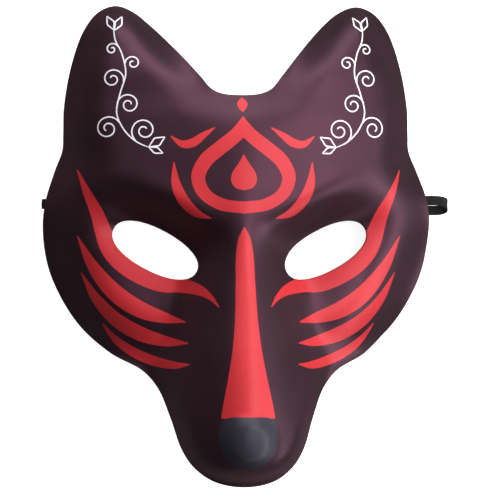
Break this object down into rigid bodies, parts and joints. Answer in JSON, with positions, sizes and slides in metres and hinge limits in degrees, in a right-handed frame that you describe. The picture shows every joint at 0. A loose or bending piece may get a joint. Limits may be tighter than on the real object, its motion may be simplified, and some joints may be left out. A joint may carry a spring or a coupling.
{
  "type": "kitsune mask",
  "caption": "Full-face fox mask moulded in dark foam, with upright ears, slanting eye holes, a long muzzle, red and white markings and a flat elastic strap.",
  "frame": {"origin": "middle of the shell's footprint, on the surface that its rim lies on", "axes": "+X towards the side of the ear on the right as the face is seen, +Y from the chin to the ears, +Z out of the face"},
  "size_m": [0.2026, 0.235, 0.0934],
  "materials": {
    "foam_skin": "satin printed skin on moulded foam",
    "elastic": "woven elastic"
  },
  "bodies": {
    "root": {"mask_shell": "foam_skin", "elastic_strap": "elastic"}
  },
  "joints": []
}
